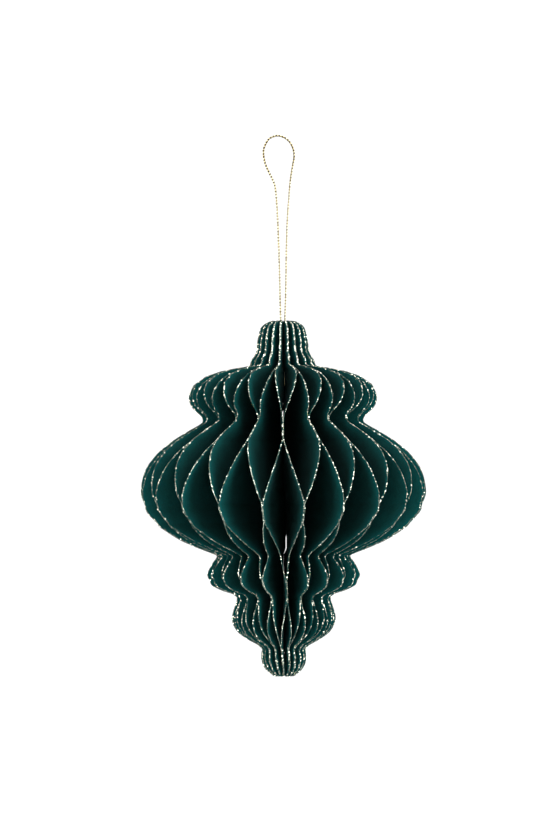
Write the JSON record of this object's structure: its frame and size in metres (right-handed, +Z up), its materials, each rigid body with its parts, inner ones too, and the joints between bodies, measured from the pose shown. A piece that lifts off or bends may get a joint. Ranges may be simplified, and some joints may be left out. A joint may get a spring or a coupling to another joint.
{
  "type": "paper finial ornament",
  "caption": "Hanging paper ornament in the shape of a turned finial: card leaves fanned round an axis, glued in alternating bands, with a cord loop.",
  "frame": {"origin": "the point where the loop hangs: the inside of the cord loop's top, on the ornament's upright axis", "axes": "+Z up along the ornament's axis, -Y to the front, +X to the right as seen from the front"},
  "size_m": [0.0968, 0.0965, 0.1836],
  "materials": {
    "green_card": "matte",
    "gold_cord": "satin",
    "gold_glitter": "satin"
  },
  "bodies": {
    "root": {"leaf_01": "green_card", "leaf_02": "green_card", "leaf_03": "green_card", "leaf_04": "green_card", "leaf_05": "green_card", "leaf_06": "green_card", "leaf_07": "green_card", "leaf_08": "green_card", "leaf_09": "green_card", "leaf_10": "green_card", "leaf_11": "green_card", "leaf_12": "green_card", "leaf_13": "green_card", "leaf_14": "green_card", "leaf_15": "green_card", "leaf_16": "green_card", "leaf_17": "green_card", "leaf_18": "green_card", "leaf_19": "green_card", "leaf_20": "green_card", "leaf_21": "green_card", "leaf_22": "green_card", "leaf_23": "green_card", "leaf_24": "green_card", "leaf_25": "green_card", "leaf_26": "green_card", "leaf_27": "green_card", "leaf_28": "green_card", "leaf_29": "green_card", "leaf_30": "green_card", "leaf_31": "green_card", "leaf_32": "green_card", "leaf_33": "green_card", "leaf_34": "green_card", "leaf_35": "green_card", "leaf_36": "green_card", "leaf_37": "green_card", "leaf_38": "green_card", "leaf_39": "green_card", "leaf_40": "green_card", "leaf_41": "green_card", "leaf_42": "green_card", "hanging_loop": "gold_cord", "cord_knot": "gold_cord"}
  },
  "joints": []
}
